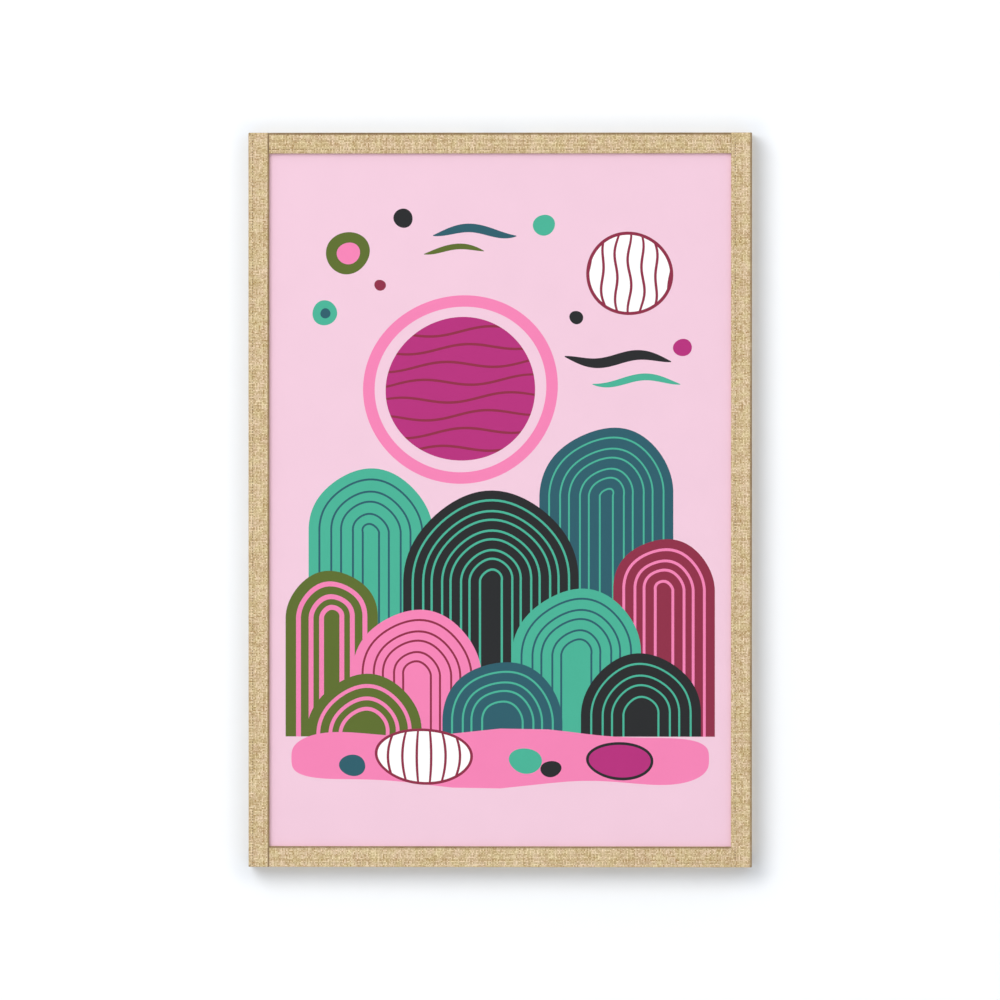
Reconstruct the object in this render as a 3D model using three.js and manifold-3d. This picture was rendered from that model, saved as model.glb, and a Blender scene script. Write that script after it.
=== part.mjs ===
// A framed wall print. Four wooden strips, each wrapped in woven linen, make the frame: the two
// stiles run the full height and the two rails stand between them. A lip on the strips holds the
// print from the front. A mounting board and a backing board lie behind it, and steel points,
// driven into the strips, keep them in. A sawtooth hanger on the top rail and two rubber bumpers
// hold the frame a little off the wall.
//
// Millimetres. +X is to the right seen from the front, +Y points back to the wall, +Z is up.
// The origin is on the wall, straight behind the middle notch of the hanger.

import * as THREE from 'three';
import { mergeVertices } from 'three/addons/utils/BufferGeometryUtils.js';
import Module from 'manifold-3d';

// ---------------------------------------------------------------- driving sizes

const PICTURE_WIDTH = 400; // seen between the stiles
const PICTURE_HEIGHT = 600; // seen between the rails
const FACE_WIDTH = 18; // width of a strip, seen from the front
const FRAME_DEPTH = 20; // front of the linen to its hem on the back
const LIP_DEPTH = 3.2; // front of the linen to the print's side of the lip
const REBATE_WIDTH = 6; // how far the lip reaches over the print's edge

const LINEN = 0.5; // thickness of the cloth
const GLUE = 0.15; // between the cloth and the wood
const FRONT_ROUND = 1.4; // rounding of the front edges, outside the cloth
const BACK_ROUND = 1.0;
const LIP_ROUND = 0.7;
const HEM_WIDTH = 9; // cloth turned over onto the back
const TURN_UNDER = 5; // cloth turned under the lip
const JOINT_GAP = 0.3; // between a rail and the stiles

const BOARD_MARGIN = 1; // play round the print and the boards in the rebate
const PRINT = 0.5;
const MOUNTING_BOARD = 3;
const BACKING_BOARD = 2.9;
const STACK_GAP = 0.1; // between one sheet and the next

const DOWEL_RADIUS = 2.5;
const DOWEL_IN_STILE = 9;
const DOWEL_IN_RAIL = 11;
const DOWEL_PLAY = 0.3;

const POINT_WIDTH = 8;
const POINT_IN_WOOD = 6;
const POINT_OVER_BOARD = 14;
const POINT_THICKNESS = 0.5;
const POINT_PLAY = 0.3;
const POINTS_PER_STILE = 4;
const POINTS_PER_RAIL = 3;

const HANGER_LENGTH = 45;
const HANGER_HEIGHT = 8;
const HANGER_THICKNESS = 0.8;
const HANGER_TAB = 8; // flat tab at each end
const HANGER_RAMP = 1.5; // slope from a tab up to the raised middle
const HANGER_RISE = 1.2;
const HANGER_INSET = 0.8; // below the top of the frame
const NOTCHES = 9;
const NOTCH_PITCH = 2.5;
const NOTCH_DEPTH = 1.5;

const NAIL_RADIUS = 0.8;
const NAIL_LENGTH = 9.5;
const NAIL_HEAD_RADIUS = 1.8;
const NAIL_HEAD = 0.7;
const NAIL_PLAY = 0.3;

const BUMPER_RADIUS = 4.5;
const BUMPER_THICKNESS = 3;
const BUMPER_EDGE = 0.6;
const BUMPER_INSET = 5; // from the frame's side to the bumper's middle
const BUMPER_RAISE = 8; // from the frame's lower edge to the bumper's middle
const SEAT_GAP = 0.1; // a part stuck or pressed onto the hem

const EDGE_STEPS = 4; // facets on a rounded edge
const ROUND_STEPS = 28; // facets round a dowel, nail or bumper

// ---------------------------------------------------------------- sizes that follow

const FRAME_WIDTH = PICTURE_WIDTH + 2 * FACE_WIDTH;
const FRAME_HEIGHT = PICTURE_HEIGHT + 2 * FACE_WIDTH;
const BODY_WIDTH = FACE_WIDTH - REBATE_WIDTH; // a strip behind its lip
const WOOD_INSET = LINEN + GLUE;
const RAIL_LENGTH = PICTURE_WIDTH - 2 * JOINT_GAP;
const TONGUE_LENGTH = PICTURE_WIDTH + 2 * REBATE_WIDTH - 2 * JOINT_GAP;
const TONGUE_FRONT = LIP_DEPTH + JOINT_GAP;
const DOWEL_DEPTH = (TONGUE_FRONT + FRAME_DEPTH) / 2; // its middle, back from the front

const PRINT_FRONT = LIP_DEPTH + STACK_GAP;
const MOUNTING_FRONT = PRINT_FRONT + PRINT + STACK_GAP;
const BACKING_FRONT = MOUNTING_FRONT + MOUNTING_BOARD + STACK_GAP;
const POINT_FRONT = BACKING_FRONT + BACKING_BOARD + STACK_GAP;
const BOARD_WIDTH = PICTURE_WIDTH + 2 * (REBATE_WIDTH - BOARD_MARGIN);
const BOARD_HEIGHT = PICTURE_HEIGHT + 2 * (REBATE_WIDTH - BOARD_MARGIN);

const FRONT_Y = -(BUMPER_THICKNESS + SEAT_GAP + FRAME_DEPTH);
const TOP_Z = HANGER_INSET + HANGER_HEIGHT - NOTCH_DEPTH;
const MIDDLE_Z = TOP_Z - FRAME_HEIGHT / 2;
const NAIL_ALONG = HANGER_LENGTH / 2 - HANGER_TAB / 2;
const NAIL_ACROSS = HANGER_INSET + HANGER_HEIGHT / 2;
const HANGER_FRONT = FRAME_DEPTH + SEAT_GAP;
const NAIL_SEAT = HANGER_FRONT + HANGER_THICKNESS + SEAT_GAP; // under the nail's head

// ---------------------------------------------------------------- materials

const finish = (color, roughness, metalness = 0) =>
  new THREE.MeshStandardMaterial({ color, roughness, metalness });

const LINEN_CLOTH = finish(0xd1ba93, 0.95);
const PINE = finish(0xd9b98a, 0.75);
const BEECH = finish(0xcfa777, 0.7);
const PRINTED_PAPER = finish(0xf5cee0, 0.85);
const GREY_BOARD = finish(0xb5aea3, 0.9);
const HARDBOARD = finish(0x9c7650, 0.85);
const ZINC = finish(0xb9bcbd, 0.4, 1);
const RUBBER = finish(0x2e2e30, 0.85);

// ---------------------------------------------------------------- shapes and solids

const wasm = await Module();
wasm.setup();

// A closed outline through [x, y, radius] corners.
function outline(corners) {
  const shape = new THREE.Shape();
  corners.forEach(([x, y, radius = 0], index) => {
    const corner = new THREE.Vector2(x, y);
    const toward = ([nextX, nextY]) =>
      new THREE.Vector2(nextX - x, nextY - y).setLength(radius).add(corner);
    const start = toward(corners.at(index - 1));
    const end = toward(corners[(index + 1) % corners.length]);
    if (index === 0) shape.moveTo(start.x, start.y);
    else shape.lineTo(start.x, start.y);
    if (radius > 0) shape.quadraticCurveTo(x, y, end.x, end.y);
  });
  return shape;
}

// An outline drawn out along Z, half of the length to each side of its plane.
function drawn(shape, length) {
  const settings = { depth: length, bevelEnabled: false, curveSegments: EDGE_STEPS };
  return new THREE.ExtrudeGeometry(shape, settings).translate(0, 0, -length / 2);
}

// A block between two opposite corners, in any order.
function block(corner, opposite) {
  const size = opposite.map((value, axis) => Math.abs(value - corner[axis]));
  const middle = opposite.map((value, axis) => (value + corner[axis]) / 2);
  return new THREE.BoxGeometry(...size).translate(...middle);
}

// A round rod along X, between two places on it.
function rodAlongX(radius, from, to, y, z) {
  return new THREE.CylinderGeometry(radius, radius, Math.abs(to - from), ROUND_STEPS)
    .rotateZ(Math.PI / 2)
    .translate((from + to) / 2, y, z);
}

function rodAlongY(radius, from, to, x, z) {
  return new THREE.CylinderGeometry(radius, radius, Math.abs(to - from), ROUND_STEPS)
    .translate(x, (from + to) / 2, z);
}

function rodAlongZ(radius, from, to, x, y) {
  return new THREE.CylinderGeometry(radius, radius, Math.abs(to - from), ROUND_STEPS)
    .rotateX(Math.PI / 2)
    .translate(x, y, (from + to) / 2);
}

// A solid turned round the Y axis from [radius, height] points, first and last on the axis.
function turned(profile) {
  const points = profile.map(([radius, height]) => new THREE.Vector2(radius, height));
  return new THREE.LatheGeometry(points, ROUND_STEPS);
}

function toSolid(geometry) {
  const bare = geometry.clone();
  bare.deleteAttribute('normal');
  bare.deleteAttribute('uv');
  const merged = mergeVertices(bare, 1e-4);
  return new wasm.Manifold(new wasm.Mesh({
    numProp: 3,
    vertProperties: new Float32Array(merged.attributes.position.array),
    triVerts: new Uint32Array(merged.index.array),
  }));
}

function toGeometry(solid) {
  const mesh = solid.getMesh();
  const geometry = new THREE.BufferGeometry();
  geometry.setAttribute('position', new THREE.BufferAttribute(mesh.vertProperties, 3));
  geometry.setIndex(new THREE.BufferAttribute(mesh.triVerts, 1));
  geometry.computeVertexNormals();
  return geometry;
}

// Joins the first list of geometries and cuts the second list from them.
function carved(joined, cut) {
  const whole = joined.map(toSolid).reduce((sum, solid) => sum.add(solid));
  return toGeometry(cut.map(toSolid).reduce((rest, solid) => rest.subtract(solid), whole));
}

function piece(name, geometry, material) {
  const mesh = new THREE.Mesh(geometry, material);
  mesh.name = name;
  return mesh;
}

// ---------------------------------------------------------------- a strip's section
//
// A strip's own axes: X runs inward from its outer edge, Y back from its front, and Z along it.
// turn is 1 for the left stile and the top rail, and -1, which mirrors X, for the other two.

function linenOutline(turn) {
  return outline([
    [0, 0, FRONT_ROUND],
    [turn * FACE_WIDTH, 0, FRONT_ROUND],
    [turn * FACE_WIDTH, LIP_DEPTH, LIP_ROUND],
    [turn * BODY_WIDTH, LIP_DEPTH],
    [turn * BODY_WIDTH, FRAME_DEPTH],
    [0, FRAME_DEPTH, BACK_ROUND],
  ]);
}

// What the cloth leaves free: the wood, its glue and the open side towards the rebate.
function linenHollow(turn) {
  const turnedUnder = FACE_WIDTH - TURN_UNDER;
  return outline([
    [turn * LINEN, LINEN, FRONT_ROUND - LINEN],
    [turn * (FACE_WIDTH - LINEN), LINEN, FRONT_ROUND - LINEN],
    [turn * (FACE_WIDTH - LINEN), LIP_DEPTH - LINEN],
    [turn * turnedUnder, LIP_DEPTH - LINEN],
    [turn * turnedUnder, FRAME_DEPTH - LINEN],
    [turn * LINEN, FRAME_DEPTH - LINEN, BACK_ROUND - LINEN],
  ]);
}

function woodOutline(turn) {
  return outline([
    [turn * WOOD_INSET, WOOD_INSET, FRONT_ROUND - WOOD_INSET],
    [turn * (FACE_WIDTH - WOOD_INSET), WOOD_INSET, FRONT_ROUND - WOOD_INSET],
    [turn * (FACE_WIDTH - WOOD_INSET), LIP_DEPTH - WOOD_INSET],
    [turn * BODY_WIDTH, LIP_DEPTH - WOOD_INSET],
    [turn * BODY_WIDTH, FRAME_DEPTH - WOOD_INSET],
    [turn * WOOD_INSET, FRAME_DEPTH - WOOD_INSET, BACK_ROUND - WOOD_INSET],
  ]);
}

// The part of a section behind the lip, from one distance to another, for a rail's tongues.
function tongueOutline(turn, outer, back) {
  return outline([
    [turn * outer, TONGUE_FRONT],
    [turn * BODY_WIDTH, TONGUE_FRONT],
    [turn * BODY_WIDTH, back],
    [turn * outer, back, BACK_ROUND - outer],
  ]);
}

// Leaves the wood bare between the hem and the rebate, along the middle of the back.
function hemOpening(turn, length) {
  return block(
    [turn * HEM_WIDTH, FRAME_DEPTH - LINEN - GLUE / 2, -length / 2],
    [turn * (BODY_WIDTH + 1), FRAME_DEPTH + 1, length / 2],
  );
}

// ---------------------------------------------------------------- strips

// Evenly spaced places along a strip, with half a space at each end.
function spread(count, length) {
  return Array.from({ length: count }, (_, index) => ((index + 0.5) / count - 0.5) * length);
}

// Slots for the steel points, in the side of the rebate.
function pointSlots(turn, places) {
  const half = POINT_WIDTH / 2 + POINT_PLAY;
  return places.map((along) => block(
    [turn * (BODY_WIDTH - POINT_IN_WOOD - POINT_PLAY), POINT_FRONT - POINT_PLAY, along - half],
    [turn * (BODY_WIDTH + 1), POINT_FRONT + POINT_THICKNESS + POINT_PLAY, along + half],
  ));
}

function stile(side, turn) {
  const endPlates = FRAME_HEIGHT - 2 * LINEN;
  const linen = carved(
    [drawn(linenOutline(turn), FRAME_HEIGHT)],
    [drawn(linenHollow(turn), endPlates), hemOpening(turn, FRAME_HEIGHT - 2 * HEM_WIDTH)],
  );

  const dowelHoles = [-1, 1].map((end) => rodAlongX(
    DOWEL_RADIUS + DOWEL_PLAY,
    turn * (BODY_WIDTH - DOWEL_IN_STILE - DOWEL_PLAY),
    turn * (BODY_WIDTH + 1),
    DOWEL_DEPTH,
    end * (FRAME_HEIGHT - BODY_WIDTH) / 2,
  ));
  const core = carved(
    [drawn(woodOutline(turn), FRAME_HEIGHT - 2 * WOOD_INSET)],
    [...dowelHoles, ...pointSlots(turn, spread(POINTS_PER_STILE, PICTURE_HEIGHT))],
  );

  const group = new THREE.Group();
  group.add(piece(`linen_stile_${side}`, linen, LINEN_CLOTH));
  group.add(piece(`core_stile_${side}`, core, PINE));
  group.position.set(-turn * FRAME_WIDTH / 2, FRONT_Y, MIDDLE_Z);
  return group;
}

function rail(side, turn, nailHoles) {
  const linen = carved(
    [
      drawn(linenOutline(turn), RAIL_LENGTH),
      drawn(tongueOutline(turn, 0, FRAME_DEPTH), TONGUE_LENGTH),
    ],
    [
      drawn(linenHollow(turn), FRAME_WIDTH),
      hemOpening(turn, FRAME_WIDTH),
      ...nailHoles,
    ],
  );

  const dowelHoles = [-1, 1].map((end) => rodAlongZ(
    DOWEL_RADIUS + DOWEL_PLAY,
    end * (TONGUE_LENGTH / 2 - DOWEL_IN_RAIL),
    end * (TONGUE_LENGTH / 2 + 1),
    turn * BODY_WIDTH / 2,
    DOWEL_DEPTH,
  ));
  const core = carved(
    [
      drawn(woodOutline(turn), RAIL_LENGTH),
      drawn(tongueOutline(turn, WOOD_INSET, FRAME_DEPTH - WOOD_INSET), TONGUE_LENGTH),
    ],
    [
      ...dowelHoles,
      ...pointSlots(turn, spread(POINTS_PER_RAIL, PICTURE_WIDTH)),
      ...nailHoles,
    ],
  );

  const group = new THREE.Group();
  group.add(piece(`linen_rail_${side}`, linen, LINEN_CLOTH));
  group.add(piece(`core_rail_${side}`, core, PINE));
  group.position.set(0, FRONT_Y, MIDDLE_Z + turn * FRAME_HEIGHT / 2);
  group.rotation.y = Math.PI / 2;
  return group;
}

// ---------------------------------------------------------------- dowels, print and boards

function dowels() {
  const group = new THREE.Group();
  const seam = PICTURE_WIDTH / 2 + REBATE_WIDTH; // the stile's side of the joint
  for (const [across, side] of [[-1, 'left'], [1, 'right']]) {
    for (const [up, level] of [[1, 'top'], [-1, 'bottom']]) {
      const bar = rodAlongX(
        DOWEL_RADIUS,
        across * (seam - DOWEL_IN_RAIL),
        across * (seam + DOWEL_IN_STILE),
        FRONT_Y + DOWEL_DEPTH,
        MIDDLE_Z + up * (FRAME_HEIGHT - BODY_WIDTH) / 2,
      );
      group.add(piece(`dowel_${level}_${side}`, bar, BEECH));
    }
  }
  return group;
}

function sheet(name, front, thickness, material) {
  const board = piece(name, new THREE.BoxGeometry(BOARD_WIDTH, thickness, BOARD_HEIGHT), material);
  board.position.set(0, FRONT_Y + front + thickness / 2, MIDDLE_Z);
  return board;
}

// ---------------------------------------------------------------- steel points

// A flat point: its tip is in the wood and its round end lies over the backing board.
function pointGeometry() {
  const half = POINT_WIDTH / 2;
  const shape = outline([
    [-POINT_IN_WOOD, 0],
    [-POINT_IN_WOOD / 2, -half],
    [POINT_OVER_BOARD, -half, half * 0.9],
    [POINT_OVER_BOARD, half, half * 0.9],
    [-POINT_IN_WOOD / 2, half],
  ]);
  return drawn(shape, POINT_THICKNESS).rotateX(Math.PI / 2);
}

function points() {
  const group = new THREE.Group();
  const depth = FRONT_Y + POINT_FRONT + POINT_THICKNESS / 2;
  const wallX = PICTURE_WIDTH / 2 + REBATE_WIDTH;
  const wallZ = PICTURE_HEIGHT / 2 + REBATE_WIDTH;
  const add = (name, x, z, angle) => {
    const point = piece(name, pointGeometry(), ZINC);
    point.position.set(x, depth, z);
    point.rotation.y = angle;
    group.add(point);
  };
  spread(POINTS_PER_STILE, PICTURE_HEIGHT).forEach((along, index) => {
    add(`point_left_${index + 1}`, -wallX, MIDDLE_Z + along, 0);
    add(`point_right_${index + 1}`, wallX, MIDDLE_Z + along, Math.PI);
  });
  spread(POINTS_PER_RAIL, PICTURE_WIDTH).forEach((along, index) => {
    add(`point_top_${index + 1}`, along, MIDDLE_Z + wallZ, Math.PI / 2);
    add(`point_bottom_${index + 1}`, along, MIDDLE_Z - wallZ, -Math.PI / 2);
  });
  return group;
}

// ---------------------------------------------------------------- hanger, nails and bumpers

// The strip of the hanger seen from below: a flat tab, a ramp, the raised middle, and back down.
function hangerProfile() {
  const end = HANGER_LENGTH / 2;
  const tab = end - HANGER_TAB;
  const middle = tab - HANGER_RAMP;
  const low = HANGER_FRONT;
  const high = HANGER_FRONT + HANGER_RISE;
  return outline([
    [-end, low], [-tab, low], [-middle, high], [middle, high], [tab, low], [end, low],
    [end, low + HANGER_THICKNESS], [tab, low + HANGER_THICKNESS],
    [middle, high + HANGER_THICKNESS], [-middle, high + HANGER_THICKNESS],
    [-tab, low + HANGER_THICKNESS], [-end, low + HANGER_THICKNESS],
  ]);
}

// The notches between the teeth, up from the hanger's lower edge, with one in the middle.
function notchOutline() {
  const end = (NOTCHES * NOTCH_PITCH) / 2;
  const zigzag = spread(NOTCHES, 2 * end).flatMap((along) => [
    [along - NOTCH_PITCH / 2, 0],
    [along, NOTCH_DEPTH],
  ]);
  return outline([[-end, -1], ...zigzag, [end, 0], [end, -1]]);
}

function hanger() {
  const edge = TOP_Z - HANGER_INSET - HANGER_HEIGHT;
  const strip = drawn(hangerProfile(), HANGER_HEIGHT)
    .translate(0, FRONT_Y, edge + HANGER_HEIGHT / 2);
  const notches = drawn(notchOutline(), FRAME_DEPTH)
    .rotateX(Math.PI / 2)
    .translate(0, FRONT_Y + HANGER_FRONT, edge);
  const holes = [-1, 1].map((side) => rodAlongY(
    NAIL_RADIUS + NAIL_PLAY,
    FRONT_Y + FRAME_DEPTH,
    0,
    side * NAIL_ALONG,
    TOP_Z - NAIL_ACROSS,
  ));
  return piece('sawtooth_hanger', carved([strip], [notches, ...holes]), ZINC);
}

// The nails' holes in the top rail, in the rail's own axes.
function nailHolesInRail() {
  return [-1, 1].map((side) => rodAlongY(
    NAIL_RADIUS + NAIL_PLAY,
    NAIL_SEAT - NAIL_LENGTH - NAIL_PLAY,
    FRAME_DEPTH + 1,
    NAIL_ACROSS,
    side * NAIL_ALONG,
  ));
}

function nail(name, x) {
  const geometry = turned([
    [0, -NAIL_LENGTH],
    [NAIL_RADIUS, -NAIL_LENGTH + 2 * NAIL_RADIUS],
    [NAIL_RADIUS, 0],
    [NAIL_HEAD_RADIUS, 0],
    [NAIL_HEAD_RADIUS * 0.75, NAIL_HEAD * 0.75],
    [0, NAIL_HEAD],
  ]);
  const mesh = piece(name, geometry, ZINC);
  mesh.position.set(x, FRONT_Y + NAIL_SEAT, TOP_Z - NAIL_ACROSS);
  return mesh;
}

function bumper(name, x) {
  const geometry = turned([
    [0, 0],
    [BUMPER_RADIUS, 0],
    [BUMPER_RADIUS, BUMPER_THICKNESS - BUMPER_EDGE],
    [BUMPER_RADIUS - BUMPER_EDGE, BUMPER_THICKNESS],
    [0, BUMPER_THICKNESS],
  ]);
  const mesh = piece(name, geometry, RUBBER);
  mesh.position.set(x, -BUMPER_THICKNESS, MIDDLE_Z - FRAME_HEIGHT / 2 + BUMPER_RAISE);
  return mesh;
}

// ---------------------------------------------------------------- the whole

const framedPrint = new THREE.Group();
framedPrint.add(
  stile('left', 1),
  stile('right', -1),
  rail('top', 1, nailHolesInRail()),
  rail('bottom', -1, []),
  dowels(),
  sheet('print_sheet', PRINT_FRONT, PRINT, PRINTED_PAPER),
  sheet('mounting_board', MOUNTING_FRONT, MOUNTING_BOARD, GREY_BOARD),
  sheet('backing_board', BACKING_FRONT, BACKING_BOARD, HARDBOARD),
  points(),
  hanger(),
  nail('hanger_nail_left', -NAIL_ALONG),
  nail('hanger_nail_right', NAIL_ALONG),
  bumper('bumper_left', -FRAME_WIDTH / 2 + BUMPER_INSET),
  bumper('bumper_right', FRAME_WIDTH / 2 - BUMPER_INSET),
);

export default framedPrint;
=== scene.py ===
"""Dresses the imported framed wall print: woven linen on its strips, a printed sheet with an
abstract design of hills, the wood, boards and metal behind it, and a white wall to hang on.

Metres. +X is to the right seen from the front, +Y points back into the wall and +Z is up.
"""

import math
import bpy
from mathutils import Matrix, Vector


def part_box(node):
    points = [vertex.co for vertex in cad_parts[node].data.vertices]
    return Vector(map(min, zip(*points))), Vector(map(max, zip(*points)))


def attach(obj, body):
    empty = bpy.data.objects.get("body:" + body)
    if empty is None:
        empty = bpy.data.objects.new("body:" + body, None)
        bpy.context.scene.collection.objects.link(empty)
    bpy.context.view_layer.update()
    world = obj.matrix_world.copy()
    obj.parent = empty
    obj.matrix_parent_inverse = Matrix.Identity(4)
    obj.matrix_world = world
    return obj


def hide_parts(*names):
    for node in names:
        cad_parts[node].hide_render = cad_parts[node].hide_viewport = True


bl_info = {
    "name": "Framed wall print",
    "version": (1, 0, 0),
    "blender": (4, 5, 0),
    "location": "View3D > Sidebar > Framed print",
    "description": "Builds the linen-wrapped frame, its print, its back and the wall it hangs on",
    "category": "Object",
}

import bpy
import numpy as np
from bpy.props import FloatProperty, FloatVectorProperty, IntProperty, PointerProperty
from mathutils import Vector
from mathutils.geometry import delaunay_2d_cdt

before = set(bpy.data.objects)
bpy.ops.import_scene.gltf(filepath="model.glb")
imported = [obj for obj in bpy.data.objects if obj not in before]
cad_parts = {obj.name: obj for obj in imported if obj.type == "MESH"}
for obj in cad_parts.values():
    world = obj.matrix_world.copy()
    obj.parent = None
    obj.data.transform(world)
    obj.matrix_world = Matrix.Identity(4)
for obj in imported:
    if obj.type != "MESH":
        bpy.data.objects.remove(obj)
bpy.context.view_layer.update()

MM = 0.001

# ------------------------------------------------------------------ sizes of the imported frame

STILE_LOW, STILE_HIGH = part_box("linen_stile_left")
FRONT_Y = STILE_LOW.y
HEM_Y = STILE_HIGH.y
OUTER_X = -STILE_LOW.x
TOP_Z = STILE_HIGH.z
BOTTOM_Z = STILE_LOW.z
MIDDLE_Z = (TOP_Z + BOTTOM_Z) / 2
HALF_HEIGHT = (TOP_Z - BOTTOM_Z) / 2
FACE_WIDTH = STILE_HIGH.x - STILE_LOW.x
FRAME_DEPTH = HEM_Y - FRONT_Y
RAIL_FRONT_END = OUTER_X - FACE_WIDTH + 0.05 * MM  # a rail's end, pressed on the stile's lip
RAIL_BACK_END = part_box("linen_rail_top")[1].x  # its tongue's end, behind that lip
BODY_WIDTH = 12 * MM  # of a strip behind its lip
LIP_DEPTH = 3.2 * MM
TURNED_UNDER = 5 * MM
HEM_WIDTH = 9 * MM
FRONT_ROUND = 0.7 * MM
BACK_ROUND = 1.0 * MM
LIP_ROUND = 0.6 * MM
TONGUE_FRONT = 3.5 * MM  # back from the front
END_SINKS = 0.12 * MM  # the last threads of a rail's front, under the others
PRINT_LOW, PRINT_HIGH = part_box("print_sheet")


# ------------------------------------------------------------------ sizes and colours to change


def length(name, value, description):
    return FloatProperty(
        name=name, description=description, default=value, unit="LENGTH", precision=5
    )


def amount(name, value, description):
    return FloatProperty(name=name, description=description, default=value)


def colour(name, value, description):
    return FloatVectorProperty(
        name=name, description=description, default=value, subtype="COLOR", min=0, max=1
    )


class LinenSizes(bpy.types.PropertyGroup):
    """The cloth that wraps the strips."""

    thread_pitch: length("Thread pitch", 1.2 * MM, "From one thread to the next")
    relief: length("Relief", 0.17 * MM, "From the gaps of the weave to the tops of its threads")
    slub: amount("Slub", 0.5, "How much a thread's thickness changes along it")
    thickness: length("Thickness", 0.5 * MM, "Thickness of the cloth")
    seed: IntProperty(name="Seed", description="Which threads are thick or dark", default=7)
    pale: colour("Pale thread", (0.844, 0.695, 0.463), "Colour of the palest threads")
    brown: colour("Brown thread", (0.363, 0.2195, 0.0745), "Colour of the darkest threads")
    # the colour of the painted shade along one edge of each strip and in the stiles' corner folds
    edge: colour("Shaded edge", (0.212, 0.134, 0.063), "Colour of the dark line along one edge")


class HemSizes(bpy.types.PropertyGroup):
    """The staples and thread ends on the back."""

    staple_pitch: length("Staple pitch", 58 * MM, "From one staple to the next")
    crown: length("Crown", 9.5 * MM, "Width of a staple")
    leg: length("Leg", 5 * MM, "Length of a staple's leg")
    wire: length("Wire", 0.35 * MM, "Half the thickness of a staple's wire")
    end_length: length("Thread end", 1.9 * MM, "Longest thread end at the raw hem")
    end_thickness: length("Thread end thickness", 0.17 * MM, "Radius of a thread end")


class PictureColours(bpy.types.PropertyGroup):
    """The inks of the abstract design."""

    ground: colour("Ground", (0.814, 0.5455, 0.651), "Pale pink ground of the print")
    teal: colour("Teal", (0.0595, 0.409, 0.275), "Light teal green")
    deep: colour("Deep teal", (0.0223, 0.0992, 0.129), "Deep teal blue")
    olive: colour("Olive", (0.0992, 0.139, 0.0223), "Olive green")
    pink: colour("Hot pink", (0.834, 0.209, 0.417), "Hot pink")
    magenta: colour("Magenta", (0.429, 0.0249, 0.180), "Magenta")
    maroon: colour("Maroon", (0.252, 0.0235, 0.0559), "Maroon")
    black: colour("Near black", (0.0167, 0.018, 0.0193), "Near black")
    white: colour("White", (0.930, 0.925, 0.910), "White of the paper")


class BackColours(bpy.types.PropertyGroup):
    """The wood, boards and metal of the back."""

    pine: colour("Pine", (0.56, 0.39, 0.20), "Planed pine of the strips")
    beech: colour("Beech", (0.48, 0.30, 0.15), "Beech of the dowels")
    grey_board: colour("Grey board", (0.36, 0.33, 0.28), "Board behind the print")
    hardboard: colour("Hardboard", (0.235, 0.125, 0.058), "Pressed fibre backing board")
    zinc: colour("Zinc", (0.60, 0.61, 0.62), "Bright zinc plate")
    rubber: colour("Rubber", (0.022, 0.022, 0.024), "Black rubber")


class StageSizes(bpy.types.PropertyGroup):
    """The wall, the floor, the light and the camera."""

    view_width: length("View width", 865.8 * MM, "Width of the picture at the frame's front")
    lens: amount("Lens", 400, "Focal length in millimetres")
    azimuth: amount("Azimuth", 1.6, "Degrees to the right of straight ahead")
    elevation: amount("Elevation", 0.6, "Degrees above straight ahead")
    sky: amount("Sky", 0.963, "Strength of the light from all around in front")
    sky_behind: amount("Sky behind", 0.12, "Strength of the light from all around behind the wall")
    sky_colour: colour("Sky colour", (0.956, 0.971, 1.0), "Colour of the light from all around")
    key: amount("Key", 280, "Power of the soft light from the upper left, in watts")
    back: amount("Back", 480, "Power of the soft light from behind, in watts")
    light_distance: length("Light distance", 8, "From the frame to the two soft lights")
    light_size: length("Light size", 4.8, "Width of each soft light")
    floor_drop: length("Floor drop", 1.7, "From the hang point down to the floor")


# ------------------------------------------------------------------ nodes and meshes

# a mix node's two inputs and its output, among the sockets of all its kinds
MIX_SOCKETS = {"FLOAT": (2, 3, 0), "RGBA": (6, 7, 2)}


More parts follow.
